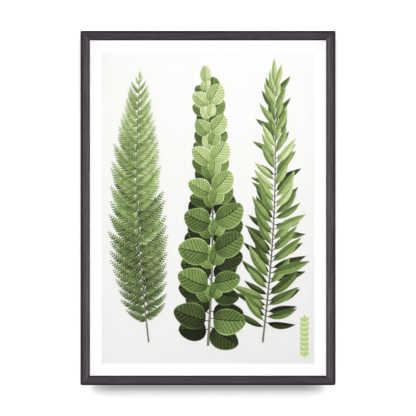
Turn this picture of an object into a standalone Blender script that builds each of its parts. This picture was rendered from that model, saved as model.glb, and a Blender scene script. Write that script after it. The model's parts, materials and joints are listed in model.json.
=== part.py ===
"""A framed A2 print, as it hangs on a wall.

The frame is four mitred lengths of stained wood moulding. Behind their lip lie a clear
glazing sheet, the printed sheet, a packing card and a backing board. Eight turn buttons,
each swivelling on its own screw, hold the board in. A sawtooth hanger on the top rail
carries the frame on a nail, and two bumpers keep its foot off the wall.

The origin is the nail's seat in the middle notch of the hanger, on the wall. X runs to the
right as the picture is looked at, Y runs into the wall and Z runs up, so the front faces -Y.
"""

import math
from functools import partial

import bmesh
import bpy
from mathutils import Matrix

# The sheet, the play round it, and the gap kept between one piece and the next
SHEET_WIDTH = 0.420
SHEET_HEIGHT = 0.594
SHEET_PLAY = 0.001
GAP = 0.0003

# The moulding's section
FACE_WIDTH = 0.0165
FACE_SLOPE = 0.0008
REBATE_WIDTH = 0.004
LIP_DEPTH = 0.0082
OUTER_ROUND = 0.0025
SIGHT_ROUND = 0.0012
BACK_CHAMFER = 0.0005

# What lies in the rebate, from the front
GLAZING_THICK = 0.002
PAPER_THICK = 0.0003
CARD_THICK = 0.003
BOARD_THICK = 0.003
BOARD_CHAMFER = 0.0005

# The wall and the hanging point
STANDOFF = 0.004
HANGER_DROP = 0.0105

# Turn buttons and their screws
BUTTON_THICK = 0.001
BUTTON_PIVOT_RADIUS = 0.0046
BUTTON_TIP_RADIUS = 0.0034
BUTTON_REACH = 0.0165
BUTTON_ALONG_SHORT = 0.105
BUTTON_ALONG_LONG = 0.150
SHANK_RADIUS = 0.0015
SHANK_LENGTH = 0.012
HEAD_RADIUS = 0.0034
HEAD_HEIGHT = 0.0018

# The sawtooth hanger and its nails
HANGER_HALF_LENGTH = 0.0225
HANGER_HEIGHT = 0.0085
HANGER_THICK = 0.0008
HANGER_RISE = 0.0021
HANGER_BRIDGE_HALF = 0.0135
HANGER_RAMP = 0.0025
HANGER_CORNER = 0.0015
TOOTH_PITCH = 0.003
TOOTH_DEPTH = 0.0012
TEETH_EACH_SIDE = 4
NAIL_FROM_MIDDLE = 0.0190
NAIL_RADIUS = 0.0009
NAIL_LENGTH = 0.009
NAIL_HEAD_RADIUS = 0.0023
NAIL_HEAD_HEIGHT = 0.0011

# The bent strips that draw each mitre together
V_NAIL_LEG = 0.006
V_NAIL_THICK = 0.0008
V_NAIL_DEPTH = 0.007
V_NAIL_INSET = 0.0075

# The bumpers
BUMPER_RADIUS = 0.005
BUMPER_CROWN_RADIUS = 0.0042
BUMPER_FROM_SIDE = 0.030

# Worked out from the sizes above
RAIL_DEPTH = LIP_DEPTH + GLAZING_THICK + PAPER_THICK + CARD_THICK + BOARD_THICK + 5 * GAP
WALL_WIDTH = FACE_WIDTH - REBATE_WIDTH
OUTER_WIDTH = SHEET_WIDTH + 2 * (SHEET_PLAY + WALL_WIDTH)
OUTER_HEIGHT = SHEET_HEIGHT + 2 * (SHEET_PLAY + WALL_WIDTH)
TOP_Z = HANGER_DROP
BOTTOM_Z = TOP_Z - OUTER_HEIGHT
MIDDLE_Z = (TOP_Z + BOTTOM_Z) / 2
BACK_Y = -STANDOFF
FRONT_Y = BACK_Y - RAIL_DEPTH
REBATE_Y = FRONT_Y + LIP_DEPTH
QUARTER_TURN = math.pi / 2

# How round things are drawn
ROUND_SIDES = 24
SMALL_ROUND_SIDES = 16
SMOOTH_UP_TO = math.radians(35)
WELD = 1e-6


# Tools that the pieces share


def clear_scene():
    """Removes what the scene holds at the start."""
    for old in list(bpy.data.objects):
        bpy.data.objects.remove(old)


def finish(name, colour, roughness, metallic=0.0, alpha=1.0):
    """A plain material. Its colour is linear RGB."""
    material = bpy.data.materials.new(name)
    material.use_nodes = True
    shader = material.node_tree.nodes["Principled BSDF"]
    shader.inputs["Base Color"].default_value = (*colour, 1.0)
    shader.inputs["Roughness"].default_value = roughness
    shader.inputs["Metallic"].default_value = metallic
    shader.inputs["Alpha"].default_value = alpha
    return material


def make_object(name, shape, material=None, location=(0, 0, 0), turn=0.0):
    """An object whose mesh shape(bm) fills, placed at location and turned about Y."""
    bm = bmesh.new()
    shape(bm)
    bmesh.ops.recalc_face_normals(bm, faces=bm.faces)
    mesh = bpy.data.meshes.new(name)
    bm.to_mesh(mesh)
    bm.free()
    mesh.shade_smooth()
    mesh.set_sharp_from_angle(angle=SMOOTH_UP_TO)
    if material:
        mesh.materials.append(material)
    made = bpy.data.objects.new(name, mesh)
    made.location = location
    made.rotation_euler = (0.0, turn, 0.0)
    bpy.context.scene.collection.objects.link(made)
    return made


def make_cutter(name, shape, location):
    """An object that only cuts others."""
    cutter = make_object(name, shape, None, location)
    cutter.hide_render = True
    cutter.display_type = "WIRE"
    return cutter


def cut_with(target, cutter):
    """Cuts one cutter out of target."""
    cut = target.modifiers.new(cutter.name, "BOOLEAN")
    cut.operation = "DIFFERENCE"
    cut.solver = "EXACT"
    cut.object = cutter


def cut_with_all(target, cutters):
    """Cuts a whole collection of cutters out of target."""
    cut = target.modifiers.new(cutters.name, "BOOLEAN")
    cut.operation = "DIFFERENCE"
    cut.solver = "EXACT"
    cut.operand_type = "COLLECTION"
    cut.collection = cutters


def arc(centre, radius, start_degrees, end_degrees, steps):
    """Points along an arc, both ends included."""
    points = []
    for step in range(steps + 1):
        angle = math.radians(start_degrees + (end_degrees - start_degrees) * step / steps)
        points.append((centre[0] + radius * math.cos(angle), centre[1] + radius * math.sin(angle)))
    return points


def extruded(bm, outline, near_y, far_y):
    """Extrudes an outline of (x, z) points from near_y to far_y."""
    face = bm.faces.new([bm.verts.new((x, near_y, z)) for x, z in outline])
    grown = bmesh.ops.extrude_face_region(bm, geom=[face])["geom"]
    moved = [item for item in grown if isinstance(item, bmesh.types.BMVert)]
    bmesh.ops.translate(bm, verts=moved, vec=(0.0, far_y - near_y, 0.0))


def turned(bm, profile, sides):
    """Spins a profile of (radius, y) points about the Y axis. Its ends lie on the axis."""
    points = [bm.verts.new((radius, y, 0.0)) for radius, y in profile]
    edges = [bm.edges.new(pair) for pair in zip(points, points[1:])]
    bmesh.ops.spin(
        bm,
        geom=points + edges,
        cent=(0, 0, 0),
        axis=(0, 1, 0),
        angle=2 * math.pi,
        steps=sides,
        use_merge=True,
    )
    bmesh.ops.remove_doubles(bm, verts=bm.verts, dist=WELD)


def bore(bm, radius, depth, sides):
    """A round bar along Y, from depth under the rail's back to well past it."""
    turned(bm, [(0, -depth), (radius, -depth), (radius, 2 * STANDOFF), (0, 2 * STANDOFF)], sides)


# The moulding


def moulding_section():
    """The rail's section as (across, y) points, across running from its outer side inwards.

    Its face slopes back a little towards the picture, and both front edges are rounded.
    """
    sight_y = FRONT_Y + FACE_SLOPE + SIGHT_ROUND
    outer = arc((OUTER_ROUND, FRONT_Y + OUTER_ROUND), OUTER_ROUND, 180, 270, 6)
    sight = arc((FACE_WIDTH - SIGHT_ROUND, sight_y), SIGHT_ROUND, 270, 360, 4)
    back = [
        (FACE_WIDTH, REBATE_Y),
        (WALL_WIDTH, REBATE_Y),
        (WALL_WIDTH, BACK_Y),
        (BACK_CHAMFER, BACK_Y),
        (0.0, BACK_Y - BACK_CHAMFER),
    ]
    return outer + sight + back


def rail_shape(bm, outer_length):
    """A rail along X with its outer side on z = 0 and its inner side up.

    The section is extruded along the rail, and each end is then cut back to the mitre: a
    point moves in by as far as it lies from the outer side, and by half the joint's gap.
    """
    section = [bm.verts.new((0.0, y, across)) for across, y in moulding_section()]
    face = bm.faces.new(section)
    bmesh.ops.extrude_face_region(bm, geom=[face])
    left_end = set(section)
    for vert in bm.verts:
        reach = outer_length / 2 - vert.co.z - GAP / math.sqrt(2)
        vert.co.x = -reach if vert in left_end else reach


def make_rails(material, cutters):
    half = OUTER_WIDTH / 2
    places = (
        ("rail_bottom", OUTER_WIDTH, (0, 0, BOTTOM_Z), 0.0),
        ("rail_top", OUTER_WIDTH, (0, 0, TOP_Z), 2 * QUARTER_TURN),
        ("rail_left", OUTER_HEIGHT, (-half, 0, MIDDLE_Z), QUARTER_TURN),
        ("rail_right", OUTER_HEIGHT, (half, 0, MIDDLE_Z), -QUARTER_TURN),
    )
    for name, length, place, turn in places:
        rail = make_object(name, partial(rail_shape, outer_length=length), material, place, turn)
        cut_with_all(rail, cutters)


# What lies behind the lip


def sheet_shape(bm, near_y, thickness):
    """A flat sheet of the print's size."""
    size = Matrix.Diagonal((SHEET_WIDTH, thickness, SHEET_HEIGHT, 1.0))
    place = Matrix.Translation((0.0, near_y + thickness / 2, 0.0))
    bmesh.ops.create_cube(bm, size=1.0, matrix=place @ size)


def make_sheets(glazing, paper, card, board):
    """The glazing, print, packing card and backing board, each a gap behind the last."""
    layers = (
        ("glazing", GLAZING_THICK, glazing),
        ("printed_sheet", PAPER_THICK, paper),
        ("packing_card", CARD_THICK, card),
        ("backing_board", BOARD_THICK, board),
    )
    near_y = REBATE_Y + GAP
    for name, thickness, material in layers:
        shape = partial(sheet_shape, near_y=near_y, thickness=thickness)
        sheet = make_object(name, shape, material, (0, 0, MIDDLE_Z))
        near_y += thickness + GAP
        if name == "backing_board":
            arris = sheet.modifiers.new("arris", "BEVEL")
            arris.width = BOARD_CHAMFER
            arris.segments = 1


# Turn buttons and their screws


def button_places():
    """Each turn button's place name, its pivot on the rail's back and its turn about Y.

    A button reaches along its own +Z, which the turn points at the middle of the picture.
    """
    inset = WALL_WIDTH / 2
    side_x = OUTER_WIDTH / 2 - inset
    places = []
    for label, x in (("left", -BUTTON_ALONG_SHORT), ("right", BUTTON_ALONG_SHORT)):
        places.append((f"top_{label}", (x, BACK_Y, TOP_Z - inset), 2 * QUARTER_TURN))
        places.append((f"bottom_{label}", (x, BACK_Y, BOTTOM_Z + inset), 0.0))
    for label, rise in (("upper", BUTTON_ALONG_LONG), ("lower", -BUTTON_ALONG_LONG)):
        places.append((f"left_{label}", (-side_x, BACK_Y, MIDDLE_Z + rise), QUARTER_TURN))
        places.append((f"right_{label}", (side_x, BACK_Y, MIDDLE_Z + rise), -QUARTER_TURN))
    return places


def button_outline():
    """The outline round two circles, a wide one at the pivot and a narrower one at the tip."""
    lean = math.degrees(math.asin((BUTTON_PIVOT_RADIUS - BUTTON_TIP_RADIUS) / BUTTON_REACH))
    pivot_end = arc((0, 0), BUTTON_PIVOT_RADIUS, 180 - lean, 360 + lean, 12)
    tip_end = arc((0, BUTTON_REACH), BUTTON_TIP_RADIUS, lean, 180 - lean, 10)
    return pivot_end + tip_end


def make_bores():
    """The bore of each button screw, through its button and into its rail."""
    shape = partial(bore, radius=SHANK_RADIUS + GAP, depth=SHANK_LENGTH, sides=ROUND_SIDES)
    return [make_cutter(f"bore_{label}", shape, place) for label, place, _ in button_places()]


def make_buttons(material, bores):
    """Each button lies a gap off the rail's back, with its origin on its pivot's axis."""
    shape = partial(extruded, outline=button_outline(), near_y=GAP, far_y=GAP + BUTTON_THICK)
    for (label, place, turn), cutter in zip(button_places(), bores):
        button = make_object(f"turn_button_{label}", shape, material, place, turn)
        cut_with(button, cutter)


def headed_profile(seat_y, head_radius, head_height, shank_radius, shank_length):
    """A domed head on seat_y over a shank that ends in a point, as (radius, y) points.

    The dome is a flattened arc: it drops by four fifths of what a quarter circle would.
    """
    dome = []
    for share in (0.0, 0.45, 0.78):
        drop = 0.8 * head_height * (1 - math.sqrt(1 - share**2))
        dome.append((head_radius * share, seat_y + head_height - drop))
    point_length = 2.2 * shank_radius
    return dome + [
        (head_radius, seat_y + 0.35 * head_height),
        (head_radius, seat_y),
        (shank_radius, seat_y),
        (shank_radius, seat_y - shank_length + point_length),
        (0.0, seat_y - shank_length),
    ]


def cross_outline(arm, width):
    """A cross of two slots, as its twelve corners."""
    outline = []
    for quarter in range(4):
        cosine = round(math.cos(quarter * QUARTER_TURN))
        sine = round(math.sin(quarter * QUARTER_TURN))
        for x, z in ((arm, -width / 2), (arm, width / 2), (width / 2, width / 2)):
            outline.append((x * cosine - z * sine, x * sine + z * cosine))
    return outline


def make_button_screws(material):
    """A pan-head screw in each button, with a cross recess in its head."""
    seat_y = BUTTON_THICK + 2 * GAP
    profile = headed_profile(seat_y, HEAD_RADIUS, HEAD_HEIGHT, SHANK_RADIUS, SHANK_LENGTH)
    shape = partial(turned, profile=profile, sides=ROUND_SIDES)
    recess = partial(
        extruded,
        outline=cross_outline(0.58 * HEAD_RADIUS, 0.24 * HEAD_RADIUS),
        near_y=seat_y + 0.45 * HEAD_HEIGHT,
        far_y=seat_y + 2 * HEAD_HEIGHT,
    )
    for label, place, _ in button_places():
        screw = make_object(f"button_screw_{label}", shape, material, place)
        cut_with(screw, make_cutter(f"cross_{label}", recess, place))


# The sawtooth hanger and its nails


def hanger_lower_edge():
    """The strip's lower edge as (x, z): plain ends, and teeth along the raised bridge.

    A notch has its root at x = 0 and z = 0, where the wall's nail carries the frame.
    """
    plain = [
        (-HANGER_HALF_LENGTH, HANGER_CORNER - TOOTH_DEPTH),
        (-HANGER_HALF_LENGTH + HANGER_CORNER, -TOOTH_DEPTH),
        (-HANGER_BRIDGE_HALF - HANGER_RAMP, -TOOTH_DEPTH),
        (-HANGER_BRIDGE_HALF, -TOOTH_DEPTH),
    ]
    teeth = [(-TEETH_EACH_SIDE * TOOTH_PITCH, 0.0)]
    for tooth in range(-TEETH_EACH_SIDE, TEETH_EACH_SIDE):
        teeth.append(((tooth + 0.5) * TOOTH_PITCH, -TOOTH_DEPTH))
        teeth.append(((tooth + 1) * TOOTH_PITCH, 0.0))
    return plain + teeth + [(-x, z) for x, z in reversed(plain)]


def hanger_lift(x):
    """How far the strip stands off its feet at x: a raised bridge between two ramps."""
    climb = (HANGER_BRIDGE_HALF + HANGER_RAMP - abs(x)) / HANGER_RAMP
    return HANGER_RISE * min(1.0, max(0.0, climb))


def hanger_shape(bm):
    """The strip, as a section at each point of its lower edge, joined one to the next."""
    sections = []
    for x, low_z in hanger_lower_edge():
        at_end = abs(x) > HANGER_HALF_LENGTH - HANGER_CORNER / 2
        high_z = HANGER_HEIGHT - (HANGER_CORNER if at_end else 0.0)
        near_y = BACK_Y + GAP + hanger_lift(x)
        far_y = near_y + HANGER_THICK
        corners = ((near_y, low_z), (far_y, low_z), (far_y, high_z), (near_y, high_z))
        sections.append([bm.verts.new((x, y, z)) for y, z in corners])
    bm.faces.new(sections[0])
    bm.faces.new(sections[-1])
    for here, after in zip(sections, sections[1:]):
        for i in range(4):
            j = (i + 1) % 4
            bm.faces.new((here[i], after[i], after[j], here[j]))


def nail_places():
    z = (HANGER_HEIGHT - TOOTH_DEPTH) / 2
    return (("left", (-NAIL_FROM_MIDDLE, BACK_Y, z)), ("right", (NAIL_FROM_MIDDLE, BACK_Y, z)))


def make_nail_holes():
    """The hole of each hanger nail, through the strip and into the top rail."""
    shape = partial(bore, radius=NAIL_RADIUS + GAP, depth=NAIL_LENGTH, sides=SMALL_ROUND_SIDES)
    return [make_cutter(f"nail_hole_{label}", shape, place) for label, place in nail_places()]


def make_hanger(material, nail_holes):
    hanger = make_object("sawtooth_hanger", hanger_shape, material)
    for hole in nail_holes:
        cut_with(hanger, hole)
    seat_y = HANGER_THICK + 2 * GAP
    profile = headed_profile(seat_y, NAIL_HEAD_RADIUS, NAIL_HEAD_HEIGHT, NAIL_RADIUS, NAIL_LENGTH)
    shape = partial(turned, profile=profile, sides=SMALL_ROUND_SIDES)
    for label, place in nail_places():
        make_object(f"hanger_nail_{label}", shape, material, place)


# The bent strips in the mitres


def corner_places():
    """Each corner's name, its outer point, and the signs that point into the frame."""
    half = OUTER_WIDTH / 2
    return (
        ("top_left", (-half, 0, TOP_Z), 1, -1),
        ("top_right", (half, 0, TOP_Z), -1, -1),
        ("bottom_left", (-half, 0, BOTTOM_Z), 1, 1),
        ("bottom_right", (half, 0, BOTTOM_Z), -1, 1),
    )


def v_nail_outline(x_sign, z_sign, grow=0.0):
    """A right-angled strip whose bend is on the mitre, with one leg in each rail."""
    inner = V_NAIL_INSET + V_NAIL_THICK / 2 + grow
    outer = V_NAIL_INSET - V_NAIL_THICK / 2 - grow
    reach = V_NAIL_INSET + V_NAIL_LEG + grow
    leg = [(outer, outer), (reach, outer), (reach, inner), (inner, inner)]
    other_leg = [(inner, reach), (outer, reach)]
    return [(x_sign * x, z_sign * z) for x, z in leg + other_leg]


def make_v_nail_slots():
    """The slot round each V-nail, open at the back."""
    near_y = BACK_Y - V_NAIL_DEPTH - 2 * GAP
    slots = []
    for label, place, x_sign, z_sign in corner_places():
        outline = v_nail_outline(x_sign, z_sign, GAP)
        shape = partial(extruded, outline=outline, near_y=near_y, far_y=0.0)
        slots.append(make_cutter(f"slot_{label}", shape, place))
    return slots


def make_v_nails(material):
    """A V-nail driven into the back of each mitre until it is just under the surface."""
    far_y = BACK_Y - GAP
    for label, place, x_sign, z_sign in corner_places():
        outline = v_nail_outline(x_sign, z_sign)
        shape = partial(extruded, outline=outline, near_y=far_y - V_NAIL_DEPTH, far_y=far_y)
        make_object(f"v_nail_{label}", shape, material, place)


# The bumpers


def make_bumpers(material):
    """Two low rubber buttons that stand on the bottom rail's back and touch the wall."""
    profile = [
        (0.0, BACK_Y + GAP),
        (BUMPER_RADIUS, BACK_Y + GAP),
        (BUMPER_RADIUS, BACK_Y / 2),
        (BUMPER_CROWN_RADIUS, 0.0),
        (0.0, 0.0),
    ]
    shape = partial(turned, profile=profile, sides=ROUND_SIDES)
    for label, side in (("left", -1), ("right", 1)):
        x = side * (OUTER_WIDTH / 2 - BUMPER_FROM_SIDE)
        make_object(f"bumper_{label}", shape, material, (x, 0, BOTTOM_Z + WALL_WIDTH / 2))


def collection_of(name, members):
    """Moves the members into a collection of their own."""
    collection = bpy.data.collections.new(name)
    bpy.context.scene.collection.children.link(collection)
    for member in members:
        collection.objects.link(member)
        bpy.context.scene.collection.objects.unlink(member)
    return collection


def main():
    clear_scene()
    stained_wood = finish("stained_wood", (0.072, 0.062, 0.070), 0.45)
    acrylic = finish("acrylic", (0.95, 0.96, 0.96), 0.05, alpha=0.12)
    paper = finish("paper", (0.90, 0.90, 0.89), 0.85)
    grey_card = finish("grey_card", (0.55, 0.53, 0.49), 0.9)
    hardboard = finish("hardboard", (0.27, 0.17, 0.09), 0.7)
    zinc = finish("zinc_plate", (0.62, 0.62, 0.60), 0.35, metallic=1.0)
    brass = finish("brass_plate", (0.72, 0.53, 0.25), 0.35, metallic=1.0)
    rubber = finish("rubber", (0.10, 0.10, 0.10), 0.8)

    bores = make_bores()
    nail_holes = make_nail_holes()
    slots = make_v_nail_slots()
    make_rails(stained_wood, collection_of("cut_in_rails", bores + nail_holes + slots))
    make_sheets(acrylic, paper, grey_card, hardboard)
    make_buttons(zinc, bores)
    make_button_screws(zinc)
    make_hanger(brass, nail_holes)
    make_v_nails(zinc)
    make_bumpers(rubber)


main()
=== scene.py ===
"""The looks of a framed botanical print that hangs on a wall.

The rails, the backing board and the hardware are softened copies of the frame's solids.
The picture is drawn as ink: flat leaves and stems, each a hair in front of the sheet of
paper, behind the glazing. X runs to the right as the picture is looked at, the front faces
-Y and Z runs up.
"""

import json
import math

import bmesh
import bpy
import numpy as np
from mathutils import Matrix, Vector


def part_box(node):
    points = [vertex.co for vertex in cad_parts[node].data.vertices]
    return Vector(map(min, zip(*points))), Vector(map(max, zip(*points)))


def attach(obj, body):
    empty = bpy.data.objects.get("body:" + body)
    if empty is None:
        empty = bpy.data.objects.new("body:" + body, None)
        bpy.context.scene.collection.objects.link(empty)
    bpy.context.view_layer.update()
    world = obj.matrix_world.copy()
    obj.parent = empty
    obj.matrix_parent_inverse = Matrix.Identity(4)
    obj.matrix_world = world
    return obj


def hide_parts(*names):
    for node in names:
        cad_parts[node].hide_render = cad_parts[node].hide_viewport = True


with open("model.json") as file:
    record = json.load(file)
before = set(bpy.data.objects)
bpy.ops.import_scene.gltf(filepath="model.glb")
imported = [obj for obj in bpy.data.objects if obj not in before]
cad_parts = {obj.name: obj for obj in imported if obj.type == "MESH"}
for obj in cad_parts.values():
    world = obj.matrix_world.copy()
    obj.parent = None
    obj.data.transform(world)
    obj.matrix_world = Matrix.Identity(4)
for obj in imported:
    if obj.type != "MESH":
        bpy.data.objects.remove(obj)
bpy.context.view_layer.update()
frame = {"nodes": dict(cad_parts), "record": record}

# Sizes and places taken from the frame
LEFT_RAIL_FROM, LEFT_RAIL_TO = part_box("rail_left")
OUTER_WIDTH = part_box("rail_right")[1].x - LEFT_RAIL_FROM.x
OUTER_HEIGHT = LEFT_RAIL_TO.z - LEFT_RAIL_FROM.z
FACE_WIDTH = LEFT_RAIL_TO.x - LEFT_RAIL_FROM.x
HALF_WIDTH = OUTER_WIDTH / 2
HALF_HEIGHT = OUTER_HEIGHT / 2
BOTTOM_Z = LEFT_RAIL_FROM.z
MIDDLE_Z = BOTTOM_Z + HALF_HEIGHT
FRONT_Y = LEFT_RAIL_FROM.y
PAPER_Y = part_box("printed_sheet")[0].y

# The photograph: its size in pixels, the frame's width in it, and half the width and height
# of the picture's ground
PHOTO_PIXELS = 416
FRAME_PIXELS = 255.3
PIXEL = OUTER_WIDTH / FRAME_PIXELS
FIELD_HALF_WIDTH = 106.65 * PIXEL
FIELD_HALF_HEIGHT = 156.1 * PIXEL

# How far the ink stands off the paper: its first layer, its last, and the step between two
# leaflets that overlap
INK_FIRST = 0.00002
INK_LAST = 0.00026
INK_STEP = 0.0000013

# For the leaves furthest back: the share of that thickness between two levels, and the
# lowest tone, at which the veins still show
LEVEL_STEP = 0.032
DARKEST_LEAF = 0.14

# In a softened copy, points closer than WELD are one point, faces within FLAT_ANGLE are
# one face, and edges sharper than SHARP_ANGLE are rounded
WELD = 1e-6
FLAT_ANGLE = math.radians(0.5)
SHARP_ANGLE = math.radians(38)

# A mitred end's points lie no further than this from the mitre, along the rail
MITRE_REACH = 0.00035

MAIN_BODY = "frame"

# The room: the wall is a hair behind the frame, and the floor well below it
WALL_Y = 0.0002
FLOOR_Z = BOTTOM_Z - 0.95
ROOM_HALF = 4.0
ROOM_TOP = 2.6
# The wall's glow is painted light: the light left in the frame's shadow
WALL_GLOW = 0.395
FLOOR_GLOW = 0.55

# Where painted light on the wall fills in the frame's shadow towards its corners: the distance
# from the middle at which it starts, the distance that it takes, the depths under the frame
# between which that grows weaker, and the painted light gained on the way
CORNER_FADE = (0.165, 0.050)
FADE_DEPTH = (0.004, 0.014)
FADE = (
    (0.00, 0.00),
    (0.12, 0.02),
    (0.44, 0.15),
    (0.58, 0.28),
    (0.68, 0.46),
    (0.78, 0.74),
    (0.89, 0.92),
    (1.00, 1.00),
)

# A long lens, as in the photograph, and how near and how far it sees
LENS = 200.0
SENSOR = 36.0
NEAREST = 0.1
FURTHEST = 60.0


# Nodes, materials and objects


class Nodes:
    """A node tree, with short ways to add nodes and to join them."""

    def __init__(self, tree):
        self.tree = tree

    def add(self, kind, values=None, **settings):
        """Adds a node. values sets or joins its inputs, by their name or number."""
        node = self.tree.nodes.new("ShaderNode" + kind)
        for name, value in settings.items():
            setattr(node, name, value)
        for key, value in (values or {}).items():
            self.feed(node.inputs[key], value)
        return node

    def feed(self, socket, value):
        """Joins an output to a socket, or sets the socket's own value or opaque colour."""
        if isinstance(value, bpy.types.NodeSocket):
            self.tree.links.new(value, socket)
        else:
            socket.default_value = (*value, 1.0) if socket.type == "RGBA" else value

    def math(self, operation, *values):
        return self.add("Math", dict(enumerate(values)), operation=operation).outputs[0]

    def total(self, first, *others):
        """The sum of all the values."""
        for other in others:
            first = self.math("ADD", first, other)
        return first

    def minus(self, first, second):
        return self.math("SUBTRACT", first, second)

    def times(self, first, second):
        return self.math("MULTIPLY", first, second)

    def step(self, value, low, high):
        """0 below low, 1 above high, and smooth between. low may lie above high."""
        node = self.add(
            "MapRange",
            {"Value": value, "From Min": low, "From Max": high},
            interpolation_type="SMOOTHSTEP",
        )
        return node.outputs[0]

    def spread(self, value, low, high):
        """Takes 0 to 1 to low to high."""
        return self.add("MapRange", {"Value": value, "To Min": low, "To Max": high}).outputs[0]

    def blend(self, share, first, second, kind="MIX"):
        """Colours mixed by share, in one of Blender's blend types."""
        node = self.add("Mix", {0: share, 6: first, 7: second}, data_type="RGBA", blend_type=kind)
        return node.outputs[2]

    def ramp(self, value, stops):
        """A colour for each value, blended evenly between the stops (place, colour)."""
        node = self.add("ValToRGB", {0: value})
        elements = node.color_ramp.elements
        while len(elements) < len(stops):
            elements.new(0.5)
        for element, (place, colour) in zip(elements, stops):
            element.position = place
            element.color = (*colour, 1.0)
        return node.outputs[0]

    def noise(self, vector, scale, detail=3.0, roughness=0.5):
        values = {"Vector": vector, "Scale": scale, "Detail": detail, "Roughness": roughness}
        return self.add("TexNoise", values).outputs[0]

    def stretched(self, vector, x, y, z):
        """The vector times (x, y, z)."""
        return self.add("Mapping", {"Vector": vector, "Scale": (x, y, z)}).outputs[0]

    def place(self):
        """A point's place in metres."""
        return self.add("TexCoord").outputs["Object"]

    def parts(self, vector):
        return self.add("SeparateXYZ", {0: vector}).outputs

    def on_leaf(self):
        """The place along a leaf or stem, from 0 to 1, and across it, from -1 to 1."""
        u, v, _ = self.parts(self.add("UVMap", uv_map="leaf").outputs[0])
        return u, self.minus(self.times(v, 2.0), 1.0)

    def attribute(self, name):
        return self.add("Attribute", attribute_name=name).outputs["Fac"]

    def joined(self, x, y, z):
        return self.add("CombineXYZ", {0: x, 1: y, 2: z}).outputs[0]

    def bump(self, height, distance, strength=1.0):
        values = {"Height": height, "Distance": distance, "Strength": strength}
        return self.add("Bump", values).outputs[0]

    def group(self, tree, values):
        return self.add("Group", values, node_tree=tree).outputs


def grey(level):
    """An even grey."""
    return (level, level, level)


def shared(name, inputs, outputs, fill):
    """A node group with these inputs and outputs. fill(nodes, inputs) returns each output."""
    tree = bpy.data.node_groups.new(name, "ShaderNodeTree")
    kinds = {"Vector": "NodeSocketVector", "Color": "NodeSocketColor"}
    for way, sockets in (("INPUT", inputs), ("OUTPUT", outputs)):
        for socket in sockets:
            kind = kinds.get(socket, "NodeSocketFloat")
            tree.interface.new_socket(name=socket, in_out=way, socket_type=kind)
    nodes = Nodes(tree)
    given = tree.nodes.new("NodeGroupInput").outputs
    result = tree.nodes.new("NodeGroupOutput").inputs
    for socket, value in fill(nodes, given).items():
        nodes.feed(result[socket], value)
    return tree


def new_material(name, roughness=0.5, metallic=0.0, specular=0.5):
    """A material, its node tree and its shader."""
    made = bpy.data.materials.new(name)
    made.use_nodes = True
    shader = made.node_tree.nodes["Principled BSDF"]
    shader.inputs["Roughness"].default_value = roughness
    shader.inputs["Metallic"].default_value = metallic
    shader.inputs["Specular IOR Level"].default_value = specular
    return made, Nodes(made.node_tree), shader


def finish(nodes, shader, colour, roughness=None, normal=None):
    """Joins a finish to a shader."""
    for name, value in (("Base Color", colour), ("Roughness", roughness), ("Normal", normal)):
        if value is not None:
            nodes.feed(shader.inputs[name], value)


def let_through(made, nodes, shader, share, clear=grey(1.0)):
    """Mixes a shader with a clear one by share, as the material's surface."""
    passing = nodes.add("BsdfTransparent", {0: clear})
    mixed = nodes.add("MixShader", {0: share, 1: shader.outputs[0], 2: passing.outputs[0]})
    nodes.feed(made.node_tree.nodes["Material Output"].inputs["Surface"], mixed.outputs[0])


def new_object(name, data):
    """An object in the scene, at the origin."""
    made = bpy.data.objects.new(name, data)
    bpy.context.scene.collection.objects.link(made)
    return made


# Effects that several materials share


def fill_grain(nodes, given):
    """Long soft streaks and short dark pores. X of the vector runs along the grain."""
    vector = given["Vector"]
    streaks = nodes.noise(nodes.stretched(vector, 14, 620, 620), 1.0, 4.0, 0.55)
    lines = nodes.noise(nodes.stretched(vector, 40, 2400, 2400), 1.0, 2.0, 0.5)
    pores = nodes.step(lines, 0.57, 0.66)
    height = nodes.total(nodes.times(streaks, 0.6), nodes.times(pores, -0.8))
    return {"Streaks": streaks, "Pores": pores, "Height": height}


def fill_mottle(nodes, given):
    """Broad clouds of the size given in metres, and specks a twelfth of it."""
    scale = nodes.math("DIVIDE", 1.0, given["Size"])
    clouds = nodes.noise(given["Vector"], scale, 3.0, 0.55)
    specks = nodes.noise(given["Vector"], nodes.times(scale, 12.0), 2.0, 0.6)
    return {"Clouds": clouds, "Specks": specks}


def fill_rubbed(nodes, given):
    """Fine lines of a rolled or plated sheet along X, with a few deeper scratches."""
    vector = given["Vector"]
    lines = nodes.noise(nodes.stretched(vector, 60, 5200, 5200), 1.0, 2.0, 0.6)
    scratches = nodes.noise(nodes.stretched(vector, 130, 1500, 1500), 1.0, 1.0, 0.5)
    return {"Lines": lines, "Scratches": nodes.step(scratches, 0.66, 0.72)}


# The greens of a drawn leaf, from its darkest tone to its lightest
LEAF_GREENS = (
    (0.00, (0.009, 0.010, 0.006)),
    (0.18, (0.028, 0.034, 0.014)),
    (0.38, (0.078, 0.115, 0.034)),
    (0.58, (0.185, 0.275, 0.080)),
    (0.76, (0.365, 0.480, 0.170)),
    (0.90, (0.570, 0.660, 0.330)),
    (1.00, (0.740, 0.790, 0.520)),
)


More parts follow.
